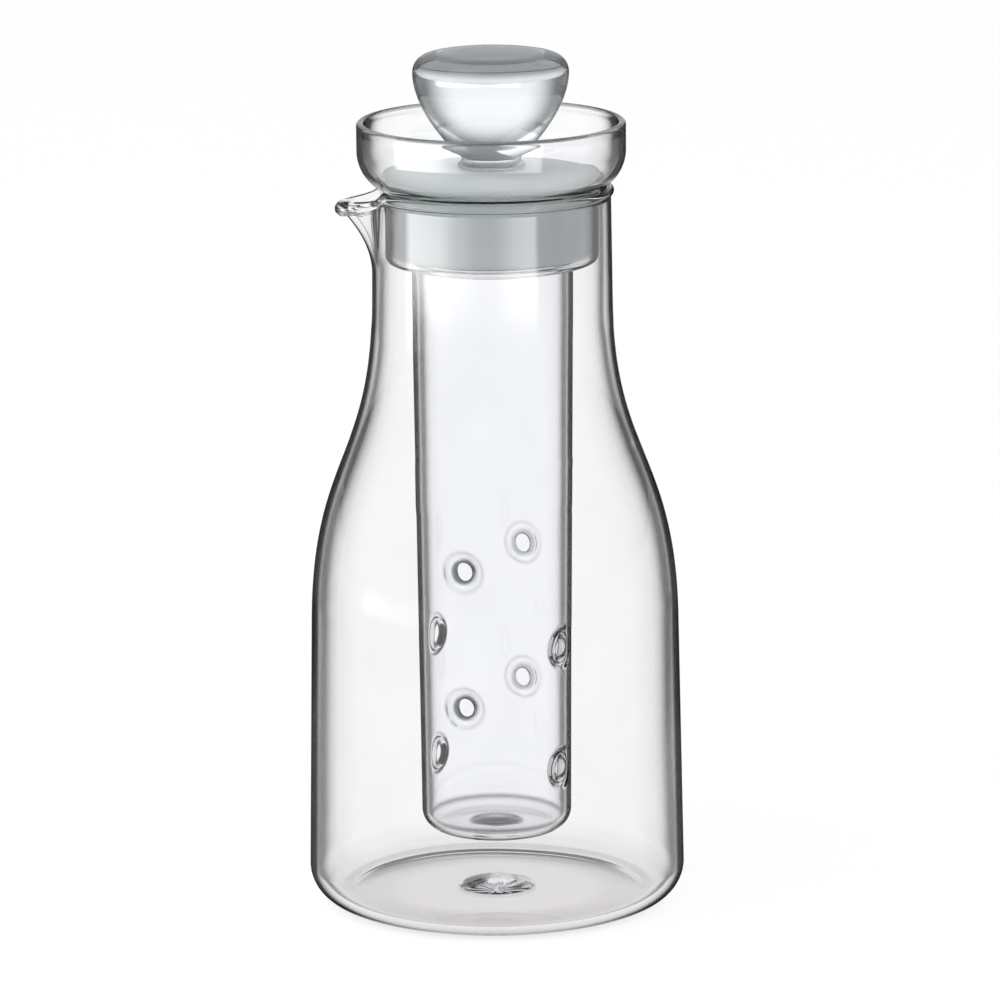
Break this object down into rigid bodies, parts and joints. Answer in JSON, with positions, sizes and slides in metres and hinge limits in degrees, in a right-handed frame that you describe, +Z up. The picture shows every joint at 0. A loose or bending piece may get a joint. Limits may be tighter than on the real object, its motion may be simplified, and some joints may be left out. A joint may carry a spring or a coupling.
{
  "type": "infusion pitcher",
  "caption": "Clear glass infusion pitcher: bottle-shaped carafe with a pulled lip, glass infuser tube with side holes, and a stopper of frosted silicone with a solid glass knob.",
  "frame": {"origin": "middle of the base, on the surface that the pitcher stands on", "axes": "+Z up along the pitcher's axis, the pouring lip points to -X, the picture is taken from -Y"},
  "size_m": [0.1082, 0.1082, 0.2468],
  "materials": {
    "clear_glass": "clear, fire polished",
    "frosted_silicone": "translucent, satin"
  },
  "bodies": {
    "carafe": {"carafe": "clear_glass"},
    "infuser": {"infuser": "clear_glass"},
    "stopper": {"stopper_plug": "frosted_silicone", "stopper_knob": "clear_glass"}
  },
  "joints": [
    {"name": "infuser_lift", "type": "slide", "parent": "carafe", "child": "infuser", "axis": [0, 0, 1], "range_m": [0, 0.2]},
    {"name": "stopper_lift", "type": "slide", "parent": "infuser", "child": "stopper", "axis": [0, 0, 1], "range_m": [0, 0.045]}
  ]
}
